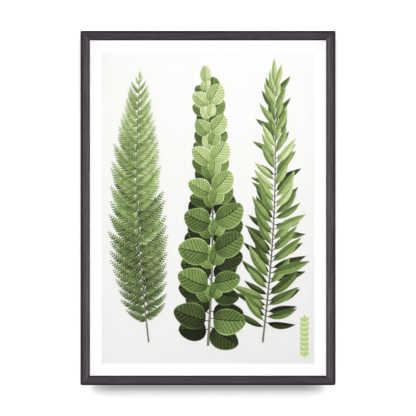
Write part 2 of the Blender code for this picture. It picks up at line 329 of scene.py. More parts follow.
def fill_leaf_ink(nodes, given):
    """The colour of a drawn leaf.

    Along runs 0 to 1 from stalk to tip and Across -1 to 1. Between two side veins the
    tone climbs from dark to light, as a pleat does. The midrib and the veins are dark
    lines, the rim is light, and one half of the leaf is lighter than the other.
    """
    along, across = given["Along"], given["Across"]
    edge = nodes.math("ABSOLUTE", across)
    slant = nodes.times(nodes.times(edge, given["Slant"]), nodes.minus(1.25, along))
    phase = nodes.times(nodes.minus(along, slant), given["Veins"])
    pleat = nodes.math("FRACT", phase)
    between = nodes.math("PINGPONG", phase, 0.5)
    on_vein = nodes.step(between, 0.14, 0.02)
    inside = nodes.step(edge, 0.98, 0.80)
    pleats = nodes.times(nodes.minus(pleat, 0.5), given["Pleats"])
    veins = nodes.times(on_vein, nodes.times(given["Pleats"], -0.5))
    drawn = nodes.times(nodes.total(pleats, veins), inside)
    midrib = nodes.times(nodes.step(edge, 0.075, 0.03), given["Midrib"])
    beside_midrib = nodes.times(nodes.step(edge, 0.05, 0.09), nodes.step(edge, 0.16, 0.10))
    rim = nodes.times(nodes.step(edge, 0.86, 0.95), given["Rim"])
    halves = nodes.times(nodes.math("SIGN", across), given["Halves"])
    foot = nodes.times(nodes.step(along, 0.45, 0.0), -0.16)
    tip = nodes.times(nodes.step(along, 0.7, 1.0), 0.05)
    clouds = nodes.minus(nodes.noise(nodes.place(), 240.0, 4.0, 0.6), 0.5)
    strokes = nodes.minus(nodes.noise(nodes.place(), 1500.0, 2.0, 0.6), 0.5)
    tone = nodes.total(
        given["Tone"],
        drawn,
        nodes.times(midrib, -1.0),
        nodes.times(beside_midrib, 0.06),
        rim,
        halves,
        foot,
        tip,
        nodes.times(clouds, 0.26),
        nodes.times(strokes, 0.12),
    )
    green = nodes.ramp(tone, LEAF_GREENS)
    greyed = nodes.blend(0.55, green, (0.34, 0.36, 0.30), "SOFT_LIGHT")
    return {"Color": nodes.blend(given["Greyness"], green, greyed), "Tone": tone}


GRAIN = shared("wood_grain", ["Vector"], ["Streaks", "Pores", "Height"], fill_grain)
MOTTLE = shared("mottle", ["Vector", "Size"], ["Clouds", "Specks"], fill_mottle)
RUBBED = shared("rubbed_metal", ["Vector"], ["Lines", "Scratches"], fill_rubbed)
LEAF_INK = shared(
    "leaf_ink",
    ["Along", "Across", "Tone", "Greyness", "Veins", "Slant", "Pleats", "Midrib", "Rim", "Halves"],
    ["Color", "Tone"],
    fill_leaf_ink,
)


def mottled(nodes, size):
    """Clouds and specks on the surface, at a size in metres."""
    return nodes.group(MOTTLE, {"Vector": nodes.place(), "Size": size})


# Materials of the frame

# The stain across a rail's face, from the frame's outer edge to the picture, with painted
# shade along both edges. On the upright rails, painted side light lightens it towards the
# picture, with a painted highlight near the inner edge.
UPRIGHT_STAIN_AND_PAINTED_LIGHT = (
    (0.000, (0.010, 0.008, 0.009)),
    (0.140, (0.022, 0.018, 0.020)),
    (0.245, (0.044, 0.037, 0.041)),
    (0.350, (0.061, 0.051, 0.057)),
    (0.457, (0.079, 0.066, 0.074)),
    (0.563, (0.072, 0.060, 0.068)),
    (0.680, (0.088, 0.074, 0.083)),
    (0.785, (0.113, 0.096, 0.107)),
    (0.885, (0.061, 0.052, 0.058)),
    (1.000, (0.028, 0.022, 0.026)),
)
LEVEL_STAIN_AND_PAINTED_SHADE = (
    (0.000, (0.014, 0.010, 0.014)),
    (0.160, (0.020, 0.014, 0.020)),
    (0.215, (0.058, 0.047, 0.058)),
    (0.550, (0.056, 0.045, 0.056)),
    (0.850, (0.055, 0.044, 0.055)),
    (0.885, (0.014, 0.010, 0.014)),
    (1.000, (0.010, 0.007, 0.010)),
)


def stained_wood(name, upright):
    """Wood stained nearly black, its grain along the rail.

    On the face the upright rails are painted lighter towards the picture, with a painted
    highlight near the inner edge, as side light would make them. The level ones are even.
    Painted shade darkens both edges of every rail. The sides and the back have one even
    coat.
    """
    made, nodes, shader = new_material(name, roughness=0.48, specular=0.4)
    x, y, z = nodes.parts(nodes.place())
    from_middle = nodes.minus(z, MIDDLE_Z)
    if upright:
        along, off, half, tones = from_middle, x, HALF_WIDTH, UPRIGHT_STAIN_AND_PAINTED_LIGHT
    else:
        along, off, half, tones = x, from_middle, HALF_HEIGHT, LEVEL_STAIN_AND_PAINTED_SHADE
    across = nodes.minus(half, nodes.math("ABSOLUTE", off))
    grain = nodes.group(GRAIN, {"Vector": nodes.joined(along, off, y)})
    share = nodes.math("DIVIDE", across, FACE_WIDTH)
    on_face = nodes.step(y, FRONT_Y + 0.0024, FRONT_Y + 0.0010)
    # The stain carries painted shade along both edges. On the upright rails it also carries painted
    # side light and a painted highlight.
    stain_and_painted_light = nodes.blend(on_face, (0.066, 0.055, 0.062), nodes.ramp(share, tones))
    streaks = nodes.ramp(grain["Streaks"], ((0.32, grey(0.66)), (0.68, grey(1.34))))
    streaked = nodes.blend(1.0, stain_and_painted_light, streaks, "MULTIPLY")
    colour = nodes.blend(nodes.times(grain["Pores"], 0.55), streaked, (0.018, 0.014, 0.017))
    roughness = nodes.spread(grain["Streaks"], 0.40, 0.60)
    finish(nodes, shader, colour, roughness, nodes.bump(grain["Height"], 0.00006, 0.6))
    return made


def clear_acrylic():
    """Clear sheet. Lamplight passes straight through it to the print."""
    made, nodes, shader = new_material("clear_acrylic", roughness=0.02, specular=0.3)
    shader.inputs["Transmission Weight"].default_value = 1.0
    shader.inputs["IOR"].default_value = 1.49
    smears = mottled(nodes, 0.12)["Clouds"]
    finish(nodes, shader, (0.994, 0.997, 0.996), nodes.spread(smears, 0.0, 0.03))
    from_lamp = nodes.add("LightPath").outputs["Is Shadow Ray"]
    let_through(made, nodes, shader, from_lamp, (0.99, 0.993, 0.992))
    return made


def print_paper():
    """Heavy matt paper, with a white margin round the picture's ground.

    The ground's level climbs with height. It leans: near the foot it is lower on the
    right, near the top on the left. It also dips a little into both upper corners.
    """
    made, nodes, shader = new_material("print_paper", roughness=0.78, specular=0.25)
    x, _, z = nodes.parts(nodes.place())
    rise = nodes.minus(z, MIDDLE_Z)
    soft = 0.0002
    out = nodes.math("ABSOLUTE", x)
    in_width = nodes.step(out, FIELD_HALF_WIDTH + soft, FIELD_HALF_WIDTH - soft)
    off = nodes.math("ABSOLUTE", rise)
    in_height = nodes.step(off, FIELD_HALF_HEIGHT + soft, FIELD_HALF_HEIGHT - soft)
    height = nodes.math("DIVIDE", rise, FIELD_HALF_HEIGHT)
    right = nodes.math("DIVIDE", x, FIELD_HALF_WIDTH)
    up = nodes.spread(nodes.total(nodes.times(height, 0.5), 0.5), 0.0, 1.0)
    lean = nodes.times(right, nodes.spread(up, -0.14, 0.12))
    to_corner = nodes.times(nodes.times(right, right), nodes.step(up, 0.72, 1.0))
    level = nodes.total(nodes.times(up, 0.9), 0.1, lean, nodes.times(to_corner, -0.15))
    tint = nodes.ramp(
        level,
        (
            (0.00, (0.771, 0.755, 0.753)),
            (0.18, (0.800, 0.783, 0.780)),
            (0.42, (0.834, 0.816, 0.807)),
            (0.70, (0.868, 0.852, 0.840)),
            (1.00, (0.894, 0.887, 0.880)),
        ),
    )
    mottle = mottled(nodes, 0.004)
    ground = nodes.blend(nodes.times(in_width, in_height), (0.962, 0.958, 0.960), tint)
    clouds = nodes.ramp(mottle["Clouds"], ((0.3, grey(0.994)), (0.7, grey(1.0))))
    toned = nodes.blend(1.0, ground, clouds, "MULTIPLY")
    roughness = nodes.spread(mottle["Specks"], 0.70, 0.86)
    finish(nodes, shader, toned, roughness, nodes.bump(mottle["Specks"], 0.00002, 0.5))
    return made


def packing_card():
    """Grey pulp board, with darker and lighter flecks."""
    made, nodes, shader = new_material("packing_card", roughness=0.9, specular=0.2)
    mottle = mottled(nodes, 0.006)
    colour = nodes.ramp(
        mottle["Specks"],
        ((0.30, (0.36, 0.34, 0.30)), (0.50, (0.54, 0.52, 0.47)), (0.70, (0.64, 0.62, 0.57))),
    )
    finish(nodes, shader, colour, normal=nodes.bump(mottle["Specks"], 0.00008, 0.6))
    return made


def hardboard():
    """Brown pressed fibre board with flecks, faint clouds and the mesh of its press screen."""
    made, nodes, shader = new_material("hardboard", roughness=0.7, specular=0.3)
    place = nodes.place()
    x, _, z = nodes.parts(place)
    mottle = mottled(nodes, 0.012)
    flecks = nodes.noise(nodes.stretched(place, 1500, 1500, 620), 1.0, 4.0, 0.75)
    base = nodes.ramp(
        mottle["Clouds"],
        ((0.25, (0.198, 0.113, 0.058)), (0.50, (0.214, 0.124, 0.065)), (0.78, (0.232, 0.137, 0.073))),
    )
    light = nodes.blend(nodes.step(flecks, 0.54, 0.76), base, (0.36, 0.24, 0.135))
    dark = nodes.blend(nodes.step(flecks, 0.46, 0.28), light, (0.100, 0.055, 0.027))
    screen_pitch = 0.0016
    waves = 2 * math.pi / screen_pitch
    across = nodes.math("SINE", nodes.times(x, waves))
    down = nodes.math("SINE", nodes.times(z, waves))
    height = nodes.total(nodes.times(nodes.times(across, down), 0.35), flecks)
    roughness = nodes.spread(flecks, 0.55, 0.80)
    finish(nodes, shader, dark, roughness, nodes.bump(height, 0.00012, 0.55))
    return made


def plated_metal(name, light, dark, roughness):
    """Rolled sheet or wire with a thin plating that clouds and scratches."""
    made, nodes, shader = new_material(name, roughness=roughness, metallic=1.0)
    rubbed = nodes.group(RUBBED, {"Vector": nodes.place()})
    mottle = mottled(nodes, 0.004)
    clouded = nodes.blend(nodes.step(mottle["Clouds"], 0.35, 0.65), dark, light)
    scratched = nodes.blend(nodes.times(rubbed["Scratches"], 0.35), clouded, light)
    spread = nodes.spread(rubbed["Lines"], roughness - 0.08, roughness + 0.12)
    height = nodes.total(nodes.times(rubbed["Lines"], 0.5), nodes.times(rubbed["Scratches"], -0.5))
    finish(nodes, shader, scratched, spread, nodes.bump(height, 0.00001, 0.6))
    return made


def bumper_rubber():
    """Dark grey moulded rubber, specked with dust."""
    made, nodes, shader = new_material("bumper_rubber", roughness=0.75, specular=0.3)
    mottle = mottled(nodes, 0.002)
    colour = nodes.ramp(mottle["Clouds"], ((0.3, (0.030, 0.030, 0.032)), (0.7, (0.062, 0.062, 0.064))))
    dust = nodes.times(nodes.step(mottle["Specks"], 0.55, 0.75), 0.5)
    dusty = nodes.blend(dust, colour, grey(0.16))
    roughness = nodes.spread(mottle["Specks"], 0.62, 0.88)
    finish(nodes, shader, dusty, roughness, nodes.bump(mottle["Specks"], 0.00003, 0.6))
    return made


# Inks of the picture


def leaf_ink(name, **lines):
    """The ink of one kind of leaf. Tone and greyness are the leaf's own attributes.

    lines sets the leaf ink's other inputs. Without Slant and Pleats they are 0.
    """
    made, nodes, shader = new_material(name, roughness=0.62, specular=0.3)
    along, across = nodes.on_leaf()
    own = {"Tone": nodes.attribute("tone"), "Greyness": nodes.attribute("greyness")}
    ink = nodes.group(LEAF_INK, {"Along": along, "Across": across, **own, **lines})
    finish(nodes, shader, ink["Color"], nodes.spread(ink["Tone"], 0.55, 0.68))
    return made


def stem_ink():
    """Stems are light down the middle and dark at both sides."""
    made, nodes, shader = new_material("stem_ink", roughness=0.62, specular=0.3)
    _, across = nodes.on_leaf()
    edge = nodes.math("ABSOLUTE", across)
    clouds = nodes.minus(nodes.noise(nodes.place(), 400.0, 3.0, 0.6), 0.5)
    tone = nodes.total(
        nodes.attribute("tone"),
        nodes.times(nodes.step(edge, 0.25, 1.0), -0.30),
        nodes.times(clouds, 0.25),
    )
    colour = nodes.ramp(
        tone,
        (
            (0.00, (0.014, 0.015, 0.010)),
            (0.35, (0.085, 0.088, 0.052)),
            (0.65, (0.270, 0.280, 0.175)),
            (1.00, (0.600, 0.600, 0.440)),
        ),
    )
    finish(nodes, shader, colour)
    return made


def ornament_ink():
    """A flat light green, as printed over the ground in one pass."""
    made, nodes, shader = new_material("ornament_ink", roughness=0.62, specular=0.3)
    mottle = mottled(nodes, 0.005)
    colour = nodes.ramp(
        mottle["Clouds"], ((0.35, (0.420, 0.560, 0.180)), (0.65, (0.500, 0.630, 0.235)))
    )
    finish(nodes, shader, colour)
    return made


# Softened copies of the frame's solids


def softened(node, rounding, material, close_mitres=False):
    """A copy of a node, its triangles joined, its flats made whole and its edges rounded.

    With close_mitres each end slides out along the rail until the two rails meet.
    """
    bm = bmesh.new()
    bm.from_mesh(frame["nodes"][node].data)
    bmesh.ops.remove_doubles(bm, verts=bm.verts, dist=WELD)
    bmesh.ops.dissolve_limit(bm, angle_limit=FLAT_ANGLE, verts=bm.verts, edges=bm.edges)
    mesh = bpy.data.meshes.new(f"{node}_finished")
    bm.to_mesh(mesh)
    bm.free()
    if close_mitres:
        slide_to_mitres(mesh, upright=node in ("rail_left", "rail_right"))
    mesh.shade_smooth()
    mesh.set_sharp_from_angle(angle=SHARP_ANGLE)
    piece = new_object(f"{node}_finished", mesh)
    mesh.materials.clear()
    mesh.materials.append(material)
    edges = piece.modifiers.new("edges", "BEVEL")
    edges.width = rounding
    edges.segments = 2
    edges.limit_method = "ANGLE"
    edges.angle_limit = SHARP_ANGLE
    edges.harden_normals = True
    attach(piece, body_of_node(node))
    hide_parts(node)


def slide_to_mitres(mesh, upright):
    """Moves the points of each mitred end along the rail, onto the mitre's own plane.

    On the plane, a point is as far from the frame's side as from its top or bottom.
    """
    places = np.empty(len(mesh.vertices) * 3, np.float32)
    mesh.vertices.foreach_get("co", places)
    places = places.reshape(-1, 3).astype(float)
    from_side = HALF_WIDTH - np.abs(places[:, 0])
    from_end = HALF_HEIGHT - np.abs(places[:, 2] - MIDDLE_Z)
    short = np.abs(from_side - from_end) < MITRE_REACH
    if upright:
        on_plane = MIDDLE_Z + np.sign(places[:, 2] - MIDDLE_Z) * (HALF_HEIGHT - from_side)
        places[:, 2] = np.where(short, on_plane, places[:, 2])
    else:
        on_plane = np.sign(places[:, 0]) * (HALF_WIDTH - from_end)
        places[:, 0] = np.where(short, on_plane, places[:, 0])
    mesh.vertices.foreach_set("co", places.astype(np.float32).ravel())
    mesh.update()


def body_of_node(node):
    """The body that a node belongs to."""
    bodies = frame["record"]["behaviour"]["bodies"]
    return next(body for body, members in bodies.items() if node in members)


def dress(node, material):
    """Gives a node of the frame a better material."""
    for slot in frame["nodes"][node].material_slots:
        slot.material = material


# Leaves and stems as surfaces


def arc_points(x, z, heading, bend, length, u):
    """Points on arcs of circles.

    At u, from 0 to 1, an arc has turned by bend times u from its heading, which is
    measured clockwise from upright. Its point is the integral of its direction:
    x + length (cos h - cos(h + b u)) / b and z + length (sin(h + b u) - sin h) / b.
    """
    bend = np.where(np.abs(bend) < 1e-3, 1e-3, bend)
    turned = heading + bend * u
    along_x = x + length * (np.cos(heading) - np.cos(turned)) / bend
    along_z = z + length * (np.sin(turned) - np.sin(heading)) / bend
    return along_x, along_z, turned


def blades(leaves, outline, steps, material):
    """Flat leaves, each a grid over u along its midrib and v across it.

    After the stalk, u steps as (1 - cos) / 2, so it is close set at both ends of the leaf.
    A point lies off the midrib by v times the half width times outline(u), and by the
    share narrow of that on the side where v is negative.
    """
    along, across = steps
    turn = (1 - np.cos(np.pi * np.linspace(0.0, 1.0, along))) / 2
    u = np.concatenate([[0.0], outline.stalk + (1 - outline.stalk) * turn])[None, :, None]
    v = np.linspace(-1.0, 1.0, across + 1)[None, None, :]
    one = {name: np.asarray(value, float)[:, None, None] for name, value in leaves.items()}
    x, z, turned = arc_points(one["x"], one["z"], one["heading"], one["bend"], one["length"], u)
    side = np.where(v < 0, one["narrow"], 1.0)
    off = v * side * one["half_width"] * outline(u)
    places = (x + off * np.cos(turned), PAPER_Y - one["lift"], z - off * np.sin(turned))
    return grid_part(places, u, v, one["tone"], one["greyness"], material)


def ribbons(x, z, half_width, lift, tone, material):
    """Stems as strips along a path: x and z are rows of points, one row for each stem.

    A point lies off the path by v times the half width, square to the path's direction.
    Stems are never greyed.
    """
    v = np.linspace(-1.0, 1.0, 5)[None, None, :]
    u = np.linspace(0.0, 1.0, x.shape[1])[None, :, None]
    turned = np.arctan2(np.gradient(x, axis=1), np.gradient(z, axis=1))[:, :, None]
    off = v * np.asarray(half_width)[:, :, None]
    y = PAPER_Y - np.asarray(lift, float)[:, None, None]
    places = (x[:, :, None] + off * np.cos(turned), y, z[:, :, None] - off * np.sin(turned))
    return grid_part(places, u, v, np.asarray(tone, float)[:, None, None], 0.0, material)


def grid_part(places, u, v, tone, greyness, material):
    """Several grids of one size, as points, quads, leaf coordinates and attributes.

    places is their x, y and z. A quad runs right and then up its leaf, so that it faces
    the viewer.
    """
    points = np.stack(np.broadcast_arrays(*places), axis=-1)
    shape = points.shape[:3]
    number = np.arange(math.prod(shape)).reshape(shape)
    quads = np.stack(
        [number[:, :-1, :-1], number[:, :-1, 1:], number[:, 1:, 1:], number[:, 1:, :-1]], axis=-1
    )
    return {
        "points": points.reshape(-1, 3),
        "quads": quads.reshape(-1, 4),
        "u": np.broadcast_to(u, shape).ravel(),
        "v": np.broadcast_to((v + 1) / 2, shape).ravel(),
        "tone": np.broadcast_to(tone, shape).ravel(),
        "greyness": np.broadcast_to(greyness, shape).ravel(),
        "material": material,
    }


def drawn_piece(name, parts):
    """One mesh from several parts, with their leaf coordinates, tones and inks."""

    def of_all(key):
        return np.concatenate([part[key] for part in parts])

    materials = list(dict.fromkeys(part["material"] for part in parts))
    starts = np.cumsum([0] + [len(part["points"]) for part in parts[:-1]])
    quads = np.concatenate([part["quads"] + start for part, start in zip(parts, starts)])
    inks = np.concatenate(
        [np.full(len(part["quads"]), materials.index(part["material"])) for part in parts]
    )
    mesh = bpy.data.meshes.new(name)
    mesh.from_pydata(of_all("points"), [], quads)
    mesh.polygons.foreach_set("material_index", inks.astype(np.int32))
    for material in materials:
        mesh.materials.append(material)
    corners = quads.ravel()
    uv = np.stack([of_all("u")[corners], of_all("v")[corners]], axis=-1)
    layer = mesh.uv_layers.new(name="leaf")
    layer.data.foreach_set("uv", uv.ravel().astype(np.float32))
    for attribute in ("tone", "greyness"):
        values = of_all(attribute).astype(np.float32)
        mesh.attributes.new(attribute, "FLOAT", "POINT").data.foreach_set("value", values)
    mesh.update()
    piece = new_object(name, mesh)
    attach(piece, MAIN_BODY)
    return piece


class Outline:
    """A leaf's half width, from 0 to 1, for each u from the stalk's foot to the tip.

    The stalk is even up to u = stalk. From there the blade follows edge(t), t from 0 to 1.
    The tip keeps a tenth of the stalk's width, so that no face closes to a line.
    """

    def __init__(self, stalk, stalk_half, edge):
        self.stalk = stalk
        self.stalk_half = stalk_half
        self.edge = edge

    def __call__(self, u):
        t = np.clip((u - self.stalk) / (1 - self.stalk), 0.0, 1.0)
        closing = np.clip((1.0 - u) / 0.02, 0.1, 1.0)
        return np.maximum(self.edge(t), self.stalk_half * closing)


def round_edge(t):
    """A disc drawn out to a blunt point: the root of half a sine wave, tapering by a sixth."""
    return np.sqrt(np.sin(np.pi * t**0.86)) * (1.06 - 0.16 * t)


def lance_edge(t):
    """Long and slim: half a sine wave with its peak a little below the middle."""
    return np.sin(np.pi * t**0.82) ** 0.95


def leaflet_edge(t):
    """Blunt, and broad where it sits on its rib: a flattened quarter circle that swells."""
    return np.sqrt(np.clip(1 - t**2.4, 0, 1)) * (0.85 + 0.4 * t - 0.5 * t**2)


ROUND = Outline(0.11, 0.035, round_edge)
LANCE = Outline(0.07, 0.10, lance_edge)
LEAFLET = Outline(0.02, 0.5, leaflet_edge)


# The drawn plants


class Stem:
    """A stem on the sheet. At t it has risen by height t, leaned by lean t and bowed by bow
    sin(pi t).

    foot_rise is the foot's height above the sheet's middle.
    """

    def __init__(self, foot_x, foot_rise, height, lean, bow):
        self.foot_x = foot_x
        self.foot_z = MIDDLE_Z + foot_rise
        self.height = height
        self.lean = lean
        self.bow = bow

    def at(self, t):
        x = self.foot_x + self.lean * t + self.bow * np.sin(np.pi * t)
        return x, self.foot_z + self.height * t

    def heading(self, t):
        return np.arctan2(self.lean + self.bow * np.pi * np.cos(np.pi * t), self.height)

    def ribbon(self, foot_half, tip_half, lift, tone, material):
        t = np.linspace(0.0, 1.0, 60)
        x, z = self.at(t)
        half = foot_half + (tip_half - foot_half) * t
        return ribbons(x[None], z[None], half[None], [lift], [tone], material)


def layers(order):
    """How far ink stands off the paper. order runs from 0, the first layer, to 1, the last."""
    return INK_FIRST + (INK_LAST - INK_FIRST) * order


def fern_sprig(inks):
    """Ribs in pairs along a stalk, each an arc with leaflets along both sides.

    At t up the stalk a rib reaches as far as 0.132 (t - 0.03)^0.40 (1.01 - t)^0.60, which
    is greatest below the middle. At s along a rib of length r a leaflet is
    0.22 r (1.03 - s)^0.55 long.
    """
    rng = np.random.default_rng(11)
    stem = Stem(foot_x=-0.104, foot_rise=-0.236, height=0.462, lean=-0.016, bow=-0.012)
    pairs, leaflets = 29, 14
    side = np.tile([-1.0, 1.0], pairs)
    t = np.clip(np.repeat(np.linspace(0.09, 0.985, pairs), 2) + side * 0.004, 0, 1)
    x, z = stem.at(t)
    reach = 0.132 * (t - 0.03) ** 0.40 * (1.01 - t) ** 0.60 * (1 + rng.normal(0, 0.03, t.size))
    opened = np.radians(78 - 34 * t) + rng.normal(0, 0.035, t.size)
    heading = stem.heading(t) + side * opened
    bend = -side * (0.50 + 0.15 * rng.random(t.size))
    tone = 0.42 + 0.42 * t + rng.normal(0, 0.06, t.size)
    lift = layers(0.02 + 0.93 * np.arange(t.size) / t.size)
    arcs = (x, z, heading, bend, reach)

    u = np.linspace(0.0, 1.0, 14)[None, :]
    rib_x, rib_z, _ = arc_points(*(value[:, None] for value in arcs), u)
    rib_half = 0.008 * reach[:, None] * (1 - 0.7 * u)

    s = np.linspace(0.02, 0.97, leaflets)[None, :, None]
    way = np.array([-1.0, 1.0])[None, None, :]
    everywhere = np.ones((2 * pairs, leaflets, 2))
    foot_x, foot_z, turned = arc_points(*(value[:, None, None] for value in arcs), s)
    rib_reach, rib_tone, rib_lift, rib_t = (value[:, None, None] for value in (reach, tone, lift, t))
    length = rib_reach * 0.22 * (1.03 - s) ** 0.55
    spread = way * np.radians(60) + rng.normal(0, 0.06, everywhere.shape)
    leaves = {
        "x": foot_x,
        "z": foot_z,
        "heading": turned + spread,
        "bend": -way * 0.35,
        "length": length,
        "half_width": np.minimum(length * 0.26, rib_reach / leaflets * 0.50),
        "narrow": 1.0,
        "lift": rib_lift + INK_STEP * (np.arange(leaflets) % 2)[None, :, None],
        "tone": rib_tone + 0.07 * way + 0.14 * (s - 0.5) + rng.normal(0, 0.05, everywhere.shape),
        "greyness": np.clip(0.5 - 0.9 * rib_t, 0, 1),
    }
    leaves = {name: (value * everywhere).ravel() for name, value in leaves.items()}
    tip = end_leaf(stem, length=0.016, half_share=0.17, tone=0.80)
    parts = [
        stem.ribbon(0.0015, 0.0004, layers(0.98), 0.58, inks["stem"]),
        ribbons(rib_x, rib_z, rib_half, lift + 2 * INK_STEP, 0.40 + 0.4 * t, inks["stem"]),
        blades(leaves, LEAFLET, (6, 2), inks["fern"]),
        blades(tip, LANCE, (18, 4), inks["fern"]),
    ]
    return drawn_piece("drawn_fern", parts)


def leaf_set(stem, rng, t, side, length, half_share, opened, tone, order, jitter):
    """Leaves at the places t of a stem, each to its side, as arrays for blades.

    half_share is the half width as a share of the length, opened the angle from the stem
    in degrees and jitter its spread in radians. order is the leaves' place in the layers.
    Low leaves are greyer than high ones.
    """
    x, z = stem.at(t)
    count = t.size
    grown = length * (1 + rng.normal(0, 0.07, count))
    return {
        "x": x,
        "z": z,
        "heading": stem.heading(t) + side * (np.radians(opened) + rng.normal(0, jitter, count)),
        "bend": -side * rng.uniform(0.05, 0.60, count),
        "length": grown,
        "half_width": grown * half_share * (1 + rng.normal(0, 0.06, count)),
        "narrow": rng.uniform(0.70, 1.0, count),
        "lift": layers(order),
        "tone": tone + rng.normal(0, 0.08, count),
        "greyness": np.clip(0.70 - 1.15 * t + rng.normal(0, 0.12, count), 0, 1),
    }


def behind(leaves, rng, drop, turn, darker, first_layer, levels):
    """The same leaves again further back: lower by drop, turned out by turn, smaller, darker.

    Leaves that lie side by side take turns through a few levels, so that each stands well
    clear of its neighbours.
    """
    count = leaves["x"].size
    side = np.sign(leaves["heading"])
    copy = dict(leaves)
    copy["z"] = leaves["z"] - drop
    copy["heading"] = leaves["heading"] + side * turn + rng.normal(0, 0.14, count)
    copy["length"] = leaves["length"] * rng.uniform(0.82, 0.98, count)
    copy["half_width"] = leaves["half_width"] * 0.92
    copy["tone"] = np.maximum(leaves["tone"] - darker, DARKEST_LEAF)
    copy["lift"] = layers(first_layer + LEVEL_STEP * (np.arange(count) % levels))
    return copy


def together(*sets):
    """Several sets of leaves as one."""
    return {name: np.concatenate([leaves[name] for leaves in sets]) for name in sets[0]}


def end_leaf(stem, length, half_share, tone):
    """The single leaf at a stem's tip."""
    x, z = stem.at(1.0)
    values = {
        "x": x,
        "z": z - 0.001,
        "heading": stem.heading(1.0),
        "bend": 0.08,
        "length": length,
        "half_width": length * half_share,
        "narrow": 0.85,
        "lift": layers(1.0),
        "tone": tone,
        "greyness": 0.0,
    }
    return {name: np.array([value]) for name, value in values.items()}


def round_leaf_sprig(inks):
    """A stout stem with round leaves in pairs: every other pair turns towards the viewer.

    Leaves shrink by half from the foot to the tip, and stand steeper the higher they are.
    """
    rng = np.random.default_rng(23)
    stem = Stem(foot_x=0.000, foot_rise=-0.242, height=0.462, lean=-0.004, bow=0.010)
    pairs = 16
    level = np.repeat(np.arange(pairs), 2)
    share = level / (pairs - 1)
    side = np.tile([-1.0, 1.0], pairs)
    forward = level % 2 == 1
    leaves = leaf_set(
        stem,
        rng,
        t=0.10 + 0.87 * share**0.94 + side * 0.006,
        side=side,
        length=np.where(forward, 0.048, 0.063) * (1 - 0.50 * share**1.3),
        half_share=np.where(forward, 0.37, 0.43),
        opened=np.where(forward, 34 - 14 * share, 86 - 42 * share),
        tone=0.47 + 0.40 * share + np.where(forward, 0.06, -0.02),
        order=0.30 + 0.66 * (level + 0.5 * (side > 0)) / pairs,
        jitter=0.10,
    )
    wide = {name: value[~forward] for name, value in leaves.items()}
    levels = 4
    furthest = 0.02
    nearer = furthest + levels * LEVEL_STEP
    low = behind(wide, rng, drop=0.014, turn=0.30, darker=0.30, first_layer=nearer, levels=levels)
    high = behind(wide, rng, drop=-0.012, turn=-0.25, darker=0.38, first_layer=furthest, levels=levels)
    tip = end_leaf(stem, length=0.031, half_share=0.36, tone=0.86)
    parts = [
        stem.ribbon(0.0022, 0.0009, layers(0.29), 0.56, inks["stem"]),
        blades(together(low, high), ROUND, (20, 8), inks["round_leaf"]),
        blades(together(leaves, tip), ROUND, (26, 10), inks["round_leaf"]),
    ]
    return drawn_piece("drawn_round_leaf", parts)


def lance_leaf_sprig(inks):
    """A slim stem with long narrow leaves, one side a little above the other.

    Leaves shorten and stand steeper towards the tip, and the lowest few are shorter too.
    """
    rng = np.random.default_rng(37)
    stem = Stem(foot_x=0.096, foot_rise=-0.236, height=0.455, lean=0.020, bow=0.010)
    pairs = 22
    share = np.repeat(np.linspace(0.0, 1.0, pairs), 2)
    side = np.tile([-1.0, 1.0], pairs)
    leaves = leaf_set(
        stem,
        rng,
        t=0.09 + 0.88 * share + side * 0.010,
        side=side,
        length=0.072 - 0.030 * share - 0.012 * np.clip(0.15 - share, 0, 1) / 0.15,
        half_share=0.125,
        opened=66 - 40 * share,
        tone=0.46 + 0.37 * share,
        order=0.30 + 0.66 * np.arange(2 * pairs) / (2 * pairs),
        jitter=0.15,
    )
    back = behind(leaves, rng, drop=0.010, turn=0.30, darker=0.32, first_layer=0.02, levels=8)
    tip = end_leaf(stem, length=0.046, half_share=0.11, tone=0.82)
    parts = [
        stem.ribbon(0.0016, 0.0006, layers(0.29), 0.52, inks["stem"]),
        blades(back, LANCE, (18, 4), inks["lance_leaf"]),
        blades(together(leaves, tip), LANCE, (24, 6), inks["lance_leaf"]),
    ]
    return drawn_piece("drawn_lance_leaf", parts)


def corner_ornament(inks):
    """A small upright garland in flat light green at the picture's lower right."""
    stem = Stem(foot_x=0.1692, foot_rise=-0.264, height=0.068, lean=0.0, bow=0.0)
    pairs = 8
    side = np.tile([-1.0, 1.0], pairs)
    x, z = stem.at(np.repeat(np.linspace(0.06, 0.94, pairs), 2))
    values = {
        "x": x,
        "z": z,
        "heading": side * np.radians(52),
        "bend": -side * 0.5,
        "length": 0.0118,
        "half_width": 0.0032,
        "narrow": 1.0,
        "lift": INK_FIRST * 2,
        "tone": 0.8,
        "greyness": 0.0,
    }
    leaves = {name: value * np.ones(side.size) for name, value in values.items()}
    tip = end_leaf(stem, length=0.010, half_share=0.26, tone=0.8)
    parts = [
        stem.ribbon(0.0009, 0.0007, INK_FIRST, 0.8, inks["ornament"]),
        blades(together(leaves, tip), LANCE, (12, 4), inks["ornament"]),
    ]
    return drawn_piece("drawn_ornament", parts)


# The room


def seen_from_the_front(made, nodes, shader):
    """Lets a camera that stands behind the paint see through it."""
    let_through(made, nodes, shader, nodes.add("NewGeometry").outputs["Backfacing"])


